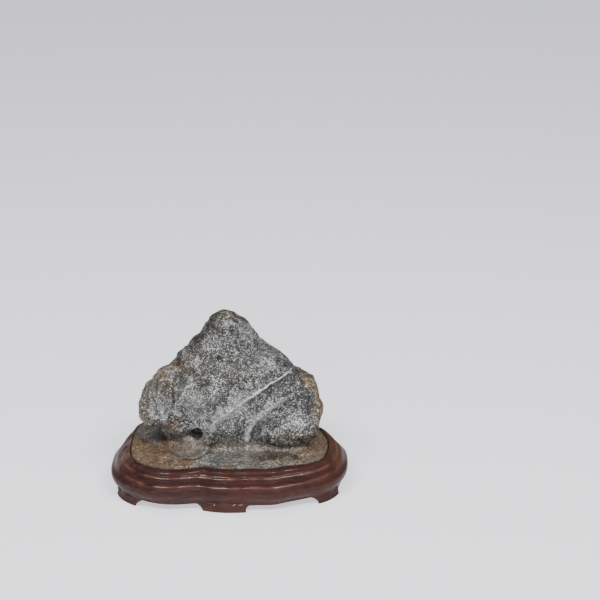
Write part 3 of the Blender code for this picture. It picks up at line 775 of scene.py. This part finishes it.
# %% Turn the blank
bpy.ops.object.select_all(action="DESELECT")
bpy.ops.mesh.primitive_circle_add(
    vertices=RING_STEPS, radius=(BLANK_RADIUS + CLEARANCE) * MM, fill_type="TRIFAN",
    location=(0.0, 0.0, RECESS_FLOOR * MM))
stand = bpy.context.object
stand.name = "carved_stand"
bpy.ops.object.transform_apply(location=True, rotation=True, scale=True)
bpy.ops.object.mode_set(mode="EDIT")
bpy.ops.mesh.select_all(action="SELECT")
bpy.ops.mesh.region_to_loop()
for (offset, height), (next_offset, next_height) in zip(section, section[1:]):
    drop = (0.0, 0.0, (next_height - height) * MM)
    bpy.ops.mesh.extrude_edges_move(TRANSFORM_OT_translate={"value": drop})
    ratio = (BLANK_RADIUS + next_offset) / (BLANK_RADIUS + offset)
    bpy.ops.transform.resize(value=(ratio, ratio, 1.0), center_override=(0.0, 0.0, 0.0))
bpy.ops.mesh.edge_face_add()
bpy.ops.mesh.poke()
bpy.ops.mesh.select_all(action="SELECT")
bpy.ops.mesh.normals_make_consistent(inside=False)
bpy.ops.object.mode_set(mode="OBJECT")
print("turned blank:", len(stand.data.vertices), "points")

# %% [markdown]
# ## The stand, part two: the carved feet
#
# Six low feet carry the stand. Each is carved as a small cloud: a panel that stands a
# little proud of the apron, with a scalloped top and two tiny eyes. The gaps between the
# feet are straight channels, so where each foot starts and ends along the rim is read
# from the plan itself. The carving moves points out or in along the radius.

# %% Feet along the rim
# For each end of a channel: its place at the table, its height there, and how far the
# foot beside it leans into the gap.
LEFT_CHANNEL = ((-65.0, 6.0, 5.4), (-18.0, 4.7, 4.2))
RIGHT_CHANNEL = ((12.5, 4.7, 2.2), (63.0, 6.4, 5.4))
END_CHANNEL = ((-24.0, 5.0, 2.2), (24.0, 5.0, 2.2))     # across Y
FOOT_LINE = 0.63            # share of the way from the stone's edge to the rim


def within(values, channel):
    return (values > channel[0][0]) & (values < channel[1][0])


turns = np.linspace(0.0, 2.0 * math.pi, 3601)[:-1]
inner = plan_radius(turns, STONE_EDGE)
rim = inner + (plan_radius(turns, RIM_EDGE) - inner) * FOOT_LINE
rim_x = rim * np.cos(turns) / MM
rim_y = rim * np.sin(turns) / MM
steps = np.hypot(np.diff(rim_x, append=rim_x[0]), np.diff(rim_y, append=rim_y[0]))
along = np.concatenate(([0.0], np.cumsum(steps)[:-1]))
girth = float(steps.sum())
in_gap = within(rim_x, LEFT_CHANNEL) | within(rim_x, RIGHT_CHANNEL) | within(rim_y, END_CHANNEL)
starts = np.flatnonzero(~in_gap & np.roll(in_gap, 1))
ends = np.flatnonzero(~in_gap & np.roll(in_gap, -1))
feet = []
for start in starts:
    end = next((e for e in ends if e >= start), ends[0])
    length = (along[end] - along[start]) % girth
    feet.append(((along[start] + 0.5 * length) % girth, 0.5 * length))
print("feet, centre and half length along the rim:", [(round(c), round(h, 1)) for c, h in feet])

# %% Carve the clouds
PANEL_RISE = 0.45           # mm that a foot's panel stands proud
GROOVE_DEPTH = 0.2          # mm, along the top of the panel
EYE_PLACE = 0.42            # share of half a foot, where two scallops meet over an eye
EYE_HEIGHT = 5.6            # mm


def cloud_top(along_foot, half):
    """Height of a foot's scalloped top edge, in mm, at a distance from its middle."""
    share = np.abs(along_foot) / half
    middle = 2.3 * np.sqrt(np.clip(1.0 - (share / EYE_PLACE) ** 2, 0.0, 1.0))
    sides = 1.3 * np.sqrt(np.clip(1.0 - ((share - 0.66) / 0.30) ** 2, 0.0, 1.0))
    return 4.9 + np.maximum(middle, sides)


blank = read_points(stand)
angle = np.arctan2(blank[:, 1], blank[:, 0])
outwards = np.hypot(blank[:, 0], blank[:, 1]) / MM - BLANK_RADIUS
height = blank[:, 2] / MM
place_along = np.interp(angle % (2.0 * math.pi), turns, along)
carving = np.zeros(len(blank))
for centre, half in feet:
    from_middle = (place_along - centre + 0.5 * girth) % girth - 0.5 * girth
    panel = smooth_step(-0.35, 0.35, cloud_top(from_middle, half) - height)
    panel = panel * smooth_step(half + 1.0, half - 0.2, np.abs(from_middle))
    rim_line = np.exp(-(((cloud_top(from_middle, half) - height + 0.55) / 0.4) ** 2))
    rim_line = rim_line * smooth_step(half, half - 1.0, np.abs(from_middle))
    carving += PANEL_RISE * panel - GROOVE_DEPTH * rim_line
    for side in (-1.0, 1.0):
        span = np.hypot(from_middle - side * EYE_PLACE * half, height - EYE_HEIGHT)
        carving += 0.55 * np.exp(-((span / 0.8) ** 2)) - 0.3 * np.exp(-(((span - 1.6) / 0.45) ** 2))
on_face = (outwards > 7.5) & (height < 9.0)
hand_cut = 0.12 * lumps(blank, 16.0 * MM, 2, 61.0)
outwards = outwards + np.where(on_face, carving, 0.0) + np.where(outwards > 2.0, hand_cut, 0.0)
hand_cut_height = 0.1 * lumps(blank, 21.0 * MM, 1, 67.0)
height = height + np.where((outwards > 2.0) & (height > 9.0), hand_cut_height, 0.0)
print("carving from", round(carving.min(), 2), "to", round(carving.max(), 2), "mm")

# %% [markdown]
# ## The stand, part three: the lobed plan
#
# Towards the two ends of the stand the moulding is drawn in and its hollows fill up, until
# it is one slope from the lip to the rounded edge. Then every point of the round blank is
# carried along its own radius to the lobed plan, so the moulding keeps its section.

# %% Ease the ends and follow the plan
LIP_WIDTH = 1.2             # mm
BELLY_EDGE = (12.3, 19.8)   # mm outside the stone's edge, and height
END_DRAW = 0.22             # share by which the moulding is drawn in at the two ends
END_FILL = 0.7              # share of its hollows that fills up there

slope_width = BELLY_EDGE[0] - LIP_WIDTH
past_lip = np.clip(outwards - LIP_WIDTH, 0.0, slope_width)
slope = BELLY_EDGE[1] + (section_top - BELLY_EDGE[1]) * (1.0 - (past_lip / slope_width) ** 1.6)
at_end = smooth_step(0.74, 0.95, np.abs(np.cos(angle)))
moulded = (past_lip > 0.0) & (height >= BELLY_EDGE[1] - 0.15)
eased_height = height + np.where(moulded, at_end * END_FILL * (slope - height), 0.0)
eased = outwards - at_end * END_DRAW * past_lip * smooth_step(15.0, 20.0, height)

inner = plan_radius(angle, STONE_EDGE)
outer = plan_radius(angle, RIM_EDGE)
share = np.clip((eased - LIP_WIDTH) / (RIM_WIDTH / MM - LIP_WIDTH), 0.0, None)
lobed = inner + eased * MM + (outer - inner - RIM_WIDTH) * share
lobed = np.where(eased < 0.0, inner * (BLANK_RADIUS + eased) / BLANK_RADIUS, lobed)
write_points(stand, np.column_stack((lobed * np.cos(angle), lobed * np.sin(angle), eased_height * MM)))
print("the rim reaches", round(float(lobed.max()) / MM, 1), "mm from the middle")

# %% [markdown]
# ## The stand, part four: where it is worn, dull, and painted with light and shade
#
# The bead, the rounded edge and the feet are painted lighter: wear from handling, and on
# the bead and the edge also a painted highlight. The grooves, the lip at the front, the
# hollow and the feet on the right are painted darker, with dirt and painted shade. The
# upper faces of both ends carry dust and a painted sheen, greyer on the left and browner on
# the right. A polishing cloth never reached into the sweep and the hollow, so they are dull,
# and only the bead and the belly carry a bright line. These masks are stored while the
# distance and height in the section are still known.

# %% Masks of the stand's finishes, painted highlight, sheen and shade
patchy = lumps(blank, 9.0 * MM, 3, 71.0)
along_x, along_y = blank[:, 0] / MM, blank[:, 1] / MM
bead = np.exp(-(((outwards - 7.2) / 1.2) ** 2))
bead = bead * smooth_step(22.3, 23.5, height) * smooth_step(25.9, 25.2, height)
edge = np.exp(-((np.hypot(outwards - 11.9, height - 19.7) / 0.9) ** 2))
in_hollow = smooth_step(7.8, 8.5, outwards) * smooth_step(11.4, 10.6, outwards)
in_hollow = in_hollow * smooth_step(19.2, 19.9, height)
in_sweep = smooth_step(5.8, 5.2, outwards) * smooth_step(24.6, 25.0, height)
foot_face = smooth_step(6.4, 5.6, height) * smooth_step(7.5, 8.5, outwards)

# Dirt and painted shade: the quirk between the sweep and the bead, the lip's inner half at the front,
# the hollow, and the feet on the right.
groove_grime_and_shade = np.exp(-((np.hypot(outwards - 5.2, height - 24.8) / 0.6) ** 2))
groove_grime_and_shade += smooth_step(3.3, 1.5, outwards) * smooth_step(0.0, -14.0, along_y) * (0.85 + 0.5 * patchy)
groove_grime_and_shade += 0.5 * in_hollow
groove_grime_and_shade *= 1.0 - 0.7 * at_end
# Dust and a painted sheen on the upper faces of both ends, greyer on the left and browner on the
# right.
dust_and_sheen = at_end * smooth_step(17.0, 20.0, height) * smooth_step(-32.0, -10.0, along_y)
dust_and_sheen = dust_and_sheen * (0.8 + 0.9 * patchy)
at_right = smooth_step(-20.0, 20.0, along_x)
dull = np.maximum(in_hollow, in_sweep * (0.85 + 0.5 * patchy)) + 0.6 * foot_face
dull = dull + 0.6 * at_end * smooth_step(19.0, 20.5, height)

# Wear from handling on the bead, the rounded edge and the feet, and a painted highlight on the bead
# and the edge where the lights catch them.
rubbed_and_painted_highlight = (bead + edge) * (0.5 + 1.1 * patchy) * (1.0 - 0.5 * at_end) + 0.18 * foot_face
store_mask(stand, "rubbed_and_painted_highlight", rubbed_and_painted_highlight)
store_mask(stand, "dust_and_sheen_left", dust_and_sheen * (1.0 - at_right))
store_mask(stand, "dust_and_sheen_right", dust_and_sheen * at_right)
store_mask(stand, "grime_and_painted_shade", groove_grime_and_shade + foot_face * (0.1 + 0.5 * smooth_step(30.0, 55.0, along_x)))
store_mask(stand, "dull", dull)

# %% [markdown]
# ## The stand, part five: sawn channels
#
# The feet are what is left between three channels sawn right across the bottom. Each is a
# long block whose two upper edges are bevelled, so the feet lean into the gap. The blocks
# are cut away with a Boolean, which is exact here because everything is one closed body.

# %% Blocks for the channels
BELOW = 4.0                 # mm that the blocks reach below the floor
REACH = 220.0               # mm, longer than the stand


def saw_channel(name, ends, turn=0.0):
    """A long block whose upper edges lean, which cuts one channel across the bottom."""
    (start, start_height, start_lean), (end, end_height, end_lean) = ends
    bpy.ops.object.select_all(action="DESELECT")
    middle = 0.5 * (start + end) * MM
    bpy.ops.mesh.primitive_cube_add(size=1.0, location=(middle, 0.0, -0.5 * BELOW * MM))
    block = bpy.context.object
    block.name = name
    block.scale = ((end - start) * MM, REACH * MM, BELOW * MM)
    bpy.ops.object.transform_apply(location=True, rotation=True, scale=True)
    for corner in block.data.vertices:
        if corner.co.z > -0.5 * BELOW * MM:
            corner.co.z = (start_height if corner.co.x < middle else end_height) * MM
    for place, lean in ((start, start_lean), (end, end_lean)):
        bpy.ops.object.mode_set(mode="EDIT")
        bpy.ops.mesh.select_mode(type="EDGE")
        bpy.ops.mesh.select_all(action="DESELECT")
        bpy.ops.object.mode_set(mode="OBJECT")
        for edge in block.data.edges:
            tips = [block.data.vertices[v].co for v in edge.vertices]
            edge.select = all(abs(tip.x - place * MM) < 0.1 * MM and tip.z > 0.0 for tip in tips)
        bpy.ops.object.mode_set(mode="EDIT")
        bpy.ops.mesh.bevel(offset=lean * MM, segments=7, profile=0.35, affect="EDGES")
        bpy.ops.object.mode_set(mode="OBJECT")
    block.rotation_euler.z = turn
    bpy.ops.object.transform_apply(location=True, rotation=True, scale=True)
    return block


channels = [
    saw_channel("left_channel", LEFT_CHANNEL),
    saw_channel("right_channel", RIGHT_CHANNEL),
    saw_channel("end_channel", END_CHANNEL, math.radians(90.0)),
]
print("blocks:", ", ".join(block.name for block in channels))

# %% Saw and smooth
for block in channels:
    cut = stand.modifiers.new(block.name, "BOOLEAN")
    cut.operation = "DIFFERENCE"
    cut.solver = "EXACT"
    cut.object = block
apply_modifiers(stand)
for block in channels:
    bpy.data.objects.remove(block, do_unlink=True)
select_only(stand)
bpy.ops.object.shade_smooth_by_angle(angle=math.radians(38.0))
print("stand:", len(stand.data.polygons), "faces")

# %% [markdown]
# ## The stand's material
#
# The wood is a dark rosewood under a thin lacquer. Its colour runs from near black to a
# warm red brown in long streaks with the board, with short dark pores among them. It is
# painted lighter on the bead and the rounded edge, for wear and as a painted highlight.
# The lacquer itself is a clear coat: it gives the crisp bright lines along the mouldings,
# and its slight unevenness breaks them up. Where the wood is dull the coat is gone.

# %% Rosewood
BOARD_TURN = (0.0, 0.03, 0.06)      # the board's grain is never quite square to the stand

wood_finish, tree, shader = new_material("lacquered_rosewood")
even = object_place(tree)
along_board = object_place(tree, (0.09, 1.0, 1.0), BOARD_TURN)
pore_place = object_place(tree, (0.16, 1.0, 1.0), BOARD_TURN)
streak = noise_of(tree, along_board, 2.6, 5.0, 0.62, 0.35)
fibre = noise_of(tree, along_board, 0.55, 3.0, 0.6)
cloudy = noise_of(tree, even, 24.0, 3.0)
pores = ramp_of(tree, noise_of(tree, pore_place, 0.7, 2.0, 0.5), ((0.62, 0.0), (0.70, 1.0)))
dark_fibre = maths(tree, "SUBTRACT", fibre, 0.4)
warm = ramp_of(tree, streak, (
    (0.30, colour(36, 18, 17)), (0.47, colour(50, 26, 23)),
    (0.60, colour(64, 34, 29)), (0.75, colour(86, 50, 39))))
for share, tone in (
    (ramp_of(tree, cloudy, ((0.42, 0.0), (0.66, 0.6))), colour(74, 36, 28)),
    (times(tree, dark_fibre, 0.6), colour(38, 19, 17)),
    (times(tree, pores, 0.5), colour(24, 12, 11)),
    # The next four are partly painted light: a painted highlight on the bead and the rounded edge,
    # painted shade in the grooves, the lip at the front and the hollow, and a painted sheen on the
    # upper faces of the ends.
    (mask_of(tree, "rubbed_and_painted_highlight", 0.5), colour(130, 90, 74)),
    (mask_of(tree, "grime_and_painted_shade", 0.7), colour(28, 13, 10)),
    (mask_of(tree, "dust_and_sheen_left"), colour(112, 92, 84)),
    (mask_of(tree, "dust_and_sheen_right", 0.55), colour(98, 66, 42)),
):
    warm = mix_of(tree, share, warm, tone)
tree.links.new(warm, shader.inputs["Base Color"])
print("rosewood:", len(tree.nodes), "nodes")

# %% Lacquer
LACQUER = 0.9

polish = ramp_of(tree, cloudy, ((0.3, 0.34), (0.7, 0.46)))
unpolished = mix_of(tree, mask_of(tree, "dull"), polish, (0.8, 0.8, 0.8, 1.0))
tree.links.new(unpolished, shader.inputs["Roughness"])
lacquer = maths(tree, "MULTIPLY_ADD", mask_of(tree, "dull"), -LACQUER, LACQUER)
tree.links.new(lacquer, shader.inputs["Coat Weight"])
shader.inputs["Specular IOR Level"].default_value = 0.25
shader.inputs["Coat Roughness"].default_value = 0.06
shader.inputs["Coat IOR"].default_value = 1.5
surface = bump_of(tree, fibre, 0.12 * MM, 0.35)
surface = bump_of(tree, noise_of(tree, even, 5.0, 2.0), 0.4 * MM, 0.25, surface)
tree.links.new(surface, shader.inputs["Normal"])
tree.links.new(surface, shader.inputs["Coat Normal"])
stand.data.materials.clear()
stand.data.materials.append(wood_finish)
print("wood material:", len(tree.nodes), "nodes")

# %% [markdown]
# ## What stands for what
#
# Each finished piece takes the place of its solid and rides on the object's only body.
# The solids stay in the file, hidden.

# %% Joining the frame
for piece, node, slot in ((stone, "stone", "grey_stone"), (stand, "stand", "dark_hardwood")):
    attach(piece, "root")
    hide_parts(node)
    print(piece.name, "stands for", node)

# %% [markdown]
# ## Floor, light and camera
#
# The object stands on a plain pale floor. Two long, thin soft boxes in front draw the two
# bright lines along the moulding. Two broad lights fill the shadows, and the polish
# doesn't mirror them. The surround is weak above the horizon, so the wood stays dark. The
# long lens looks down a little, from slightly right of the middle.

# %% Floor
bpy.ops.object.select_all(action="DESELECT")
bpy.ops.mesh.primitive_plane_add(size=9.0, location=(0.0, 0.0, 0.0))
floor = bpy.context.object
floor.name = "floor"
floor_finish, tree, shader = new_material("pale_floor")
shader.inputs["Base Color"].default_value = colour(236, 237, 243)
shader.inputs["Roughness"].default_value = 0.6
shader.inputs["Emission Color"].default_value = colour(236, 237, 243)
shader.inputs["Emission Strength"].default_value = 0.9
floor.data.materials.append(floor_finish)
floor.visible_glossy = False      # so that the lacquer stays dark, as in a larger room
print("floor:", floor.name, "of", round(floor.dimensions.x, 1), "m")


# %% Lights
def soft_light(name, place, aim, size, power, mirrored=True):
    """A panel of soft light that faces a point. A polish shows it only if it is mirrored."""
    lamp = bpy.data.lights.new(name, "AREA")
    lamp.shape = "RECTANGLE"
    lamp.size, lamp.size_y = size
    lamp.energy = power
    carrier = bpy.data.objects.new(name, lamp)
    carrier.location = place
    carrier.rotation_mode = "QUATERNION"
    carrier.rotation_quaternion = (Vector(aim) - Vector(place)).to_track_quat("-Z", "Y")
    carrier.visible_glossy = mirrored
    bpy.context.scene.collection.objects.link(carrier)


MIDDLE = (0.0, 0.0, 0.05)
soft_light("left_box", (-0.55, -1.0, 1.24), MIDDLE, (0.75, 0.12), 17.0)
soft_light("right_box", (0.62, -0.96, 1.24), MIDDLE, (0.75, 0.12), 19.0)
soft_light("overhead", (-0.1, 0.1, 1.4), MIDDLE, (1.2, 0.9), 6.0, mirrored=False)
soft_light("low_front", (0.05, -2.4, 0.7), MIDDLE, (1.6, 0.8), 20.0, mirrored=False)
world = bpy.data.worlds.new("pale_surround")
world.use_nodes = True
tree = world.node_tree
tree.nodes["Background"].inputs["Color"].default_value = (0.93, 0.93, 0.96, 1.0)
heading = tree.nodes.new("ShaderNodeTexCoord")
parts = tree.nodes.new("ShaderNodeSeparateXYZ")
tree.links.new(heading.outputs["Generated"], parts.inputs["Vector"])
glow = ramp_of(tree, parts.outputs["Z"], ((0.0, 0.5), (0.04, 0.15)))      # paler below the horizon
tree.links.new(glow, tree.nodes["Background"].inputs["Strength"])
bpy.context.scene.world = world
print("lights:", ", ".join(light.name for light in bpy.data.lights))

# %% Camera
CAMERA_PLACE = (0.050, -1.158, 0.540)
CAMERA_DROP = 19.178        # degrees below the horizon
CAMERA_LENS = 105.06        # mm

camera_data = bpy.data.cameras.new("camera")
camera_data.lens = CAMERA_LENS
camera_data.sensor_width = 36.0
camera = bpy.data.objects.new("camera", camera_data)
camera.location = CAMERA_PLACE
camera.rotation_euler = (math.radians(90.0 - CAMERA_DROP), 0.0, 0.0)
bpy.context.scene.collection.objects.link(camera)
bpy.context.scene.camera = camera
print("camera stands", round(Vector(CAMERA_PLACE).length, 2), "m from the stand")
